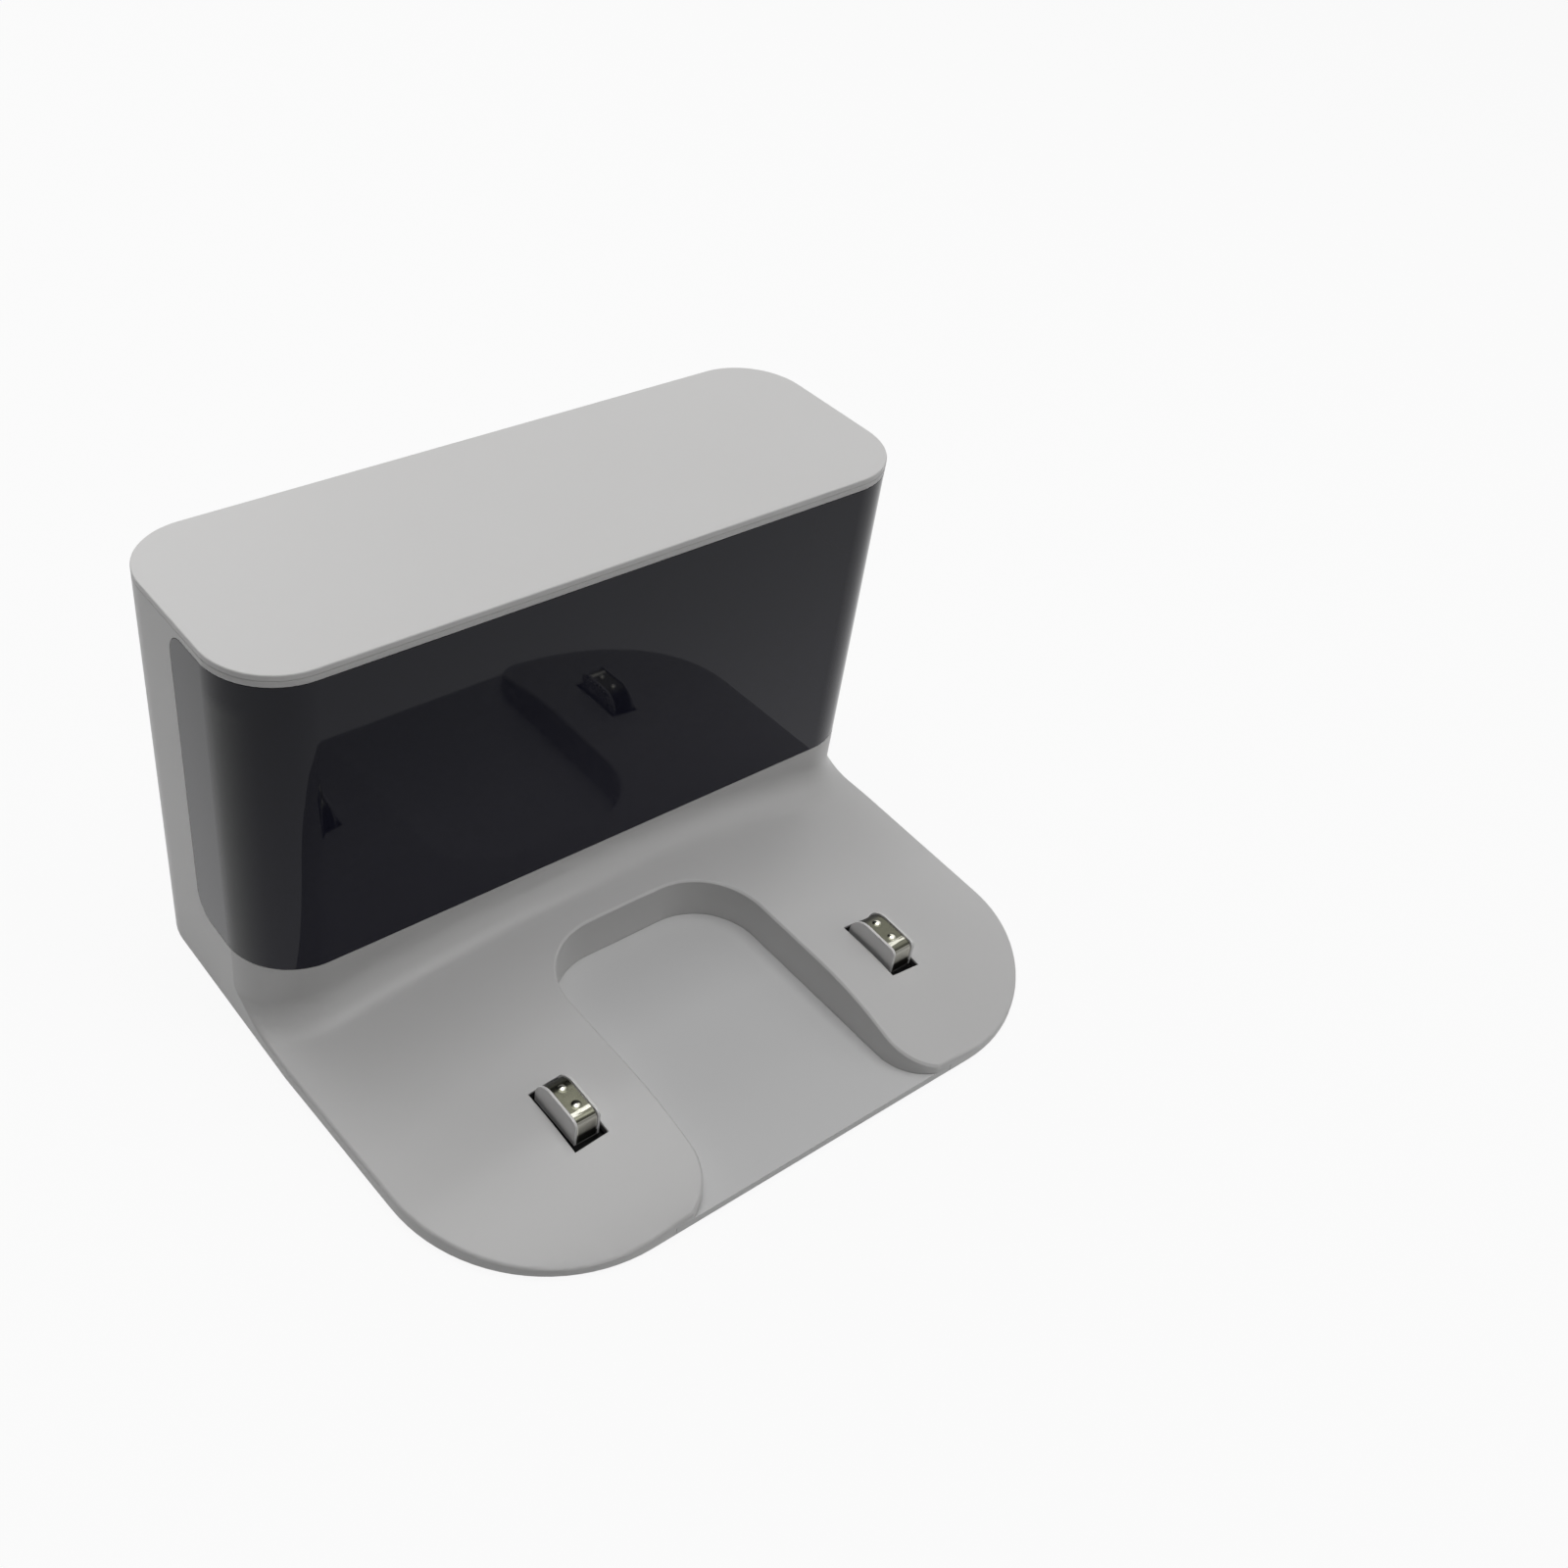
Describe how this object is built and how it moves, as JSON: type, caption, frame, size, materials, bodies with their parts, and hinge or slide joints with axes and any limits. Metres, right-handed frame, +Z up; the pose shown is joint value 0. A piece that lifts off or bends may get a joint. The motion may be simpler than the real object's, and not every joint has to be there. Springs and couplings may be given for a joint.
{
  "type": "robot vacuum charging dock",
  "caption": "Free-standing charging dock for a robot vacuum: low crowned base with a wheel bay and sprung charging contacts, and a tower with a dark infrared window.",
  "frame": {"origin": "on the floor under the feet, in the middle of the dock's whole outline", "axes": "+Z up; +Y from the base's front, where the robot drives on, to the back of the tower; +X across the dock, to the right of someone who faces the window"},
  "size_m": [0.18, 0.1514, 0.1055],
  "materials": {
    "white_housing": "fine satin moulded grain",
    "white_lid": "fine satin moulded grain",
    "white_base": "fine satin moulded grain",
    "white_contact": "satin",
    "dark_window": "polished, dark to the eye, clear to infrared",
    "dark_panel": "matt",
    "board": "lacquered circuit board",
    "black_socket": "matt",
    "infrared_light": "clear smoke",
    "contact_metal": "nickel plated, fine brushed",
    "steel": "zinc plated",
    "ballast": "bare rolled steel",
    "lead": "soft black sheath",
    "foot_pad": "matt grey rubber"
  },
  "bodies": {
    "dock": {"housing": "white_housing", "top_lid": "white_lid", "ir_window": "dark_window", "base_plate": "white_base", "ballast_plate": "ballast", "inner_panel": "dark_panel", "main_board": "board", "dc_socket": "black_socket", "power_lead": "lead", "left_ir_light": "infrared_light", "centre_ir_light": "infrared_light", "right_ir_light": "infrared_light", "rear_left_foot": "foot_pad", "rear_right_foot": "foot_pad", "front_left_foot": "foot_pad", "front_right_foot": "foot_pad", "housing_screws": "steel", "left_contact_pin": "steel", "left_contact_bracket": "steel", "left_contact_spring": "steel", "left_contact_lead": "lead", "right_contact_pin": "steel", "right_contact_bracket": "steel", "right_contact_spring": "steel", "right_contact_lead": "lead"},
    "left_contact": {"left_contact_carrier": "white_contact", "left_contact_strip": "contact_metal"},
    "right_contact": {"right_contact_carrier": "white_contact", "right_contact_strip": "contact_metal"}
  },
  "joints": [
    {"name": "left_contact_press", "type": "hinge", "parent": "dock", "child": "left_contact", "pos_m": [-0.0472, -0.0363, 0.00703], "axis": [1, 0, 0], "range_deg": [0, 8], "stiffness_Nm_per_rad": 0.1, "springref_deg": -5.73, "deforming": ["left_contact_spring"]},
    {"name": "right_contact_press", "type": "hinge", "parent": "dock", "child": "right_contact", "pos_m": [0.0472, -0.0363, 0.00703], "axis": [1, 0, 0], "range_deg": [0, 8], "stiffness_Nm_per_rad": 0.1, "springref_deg": -5.73, "deforming": ["right_contact_spring"]}
  ]
}
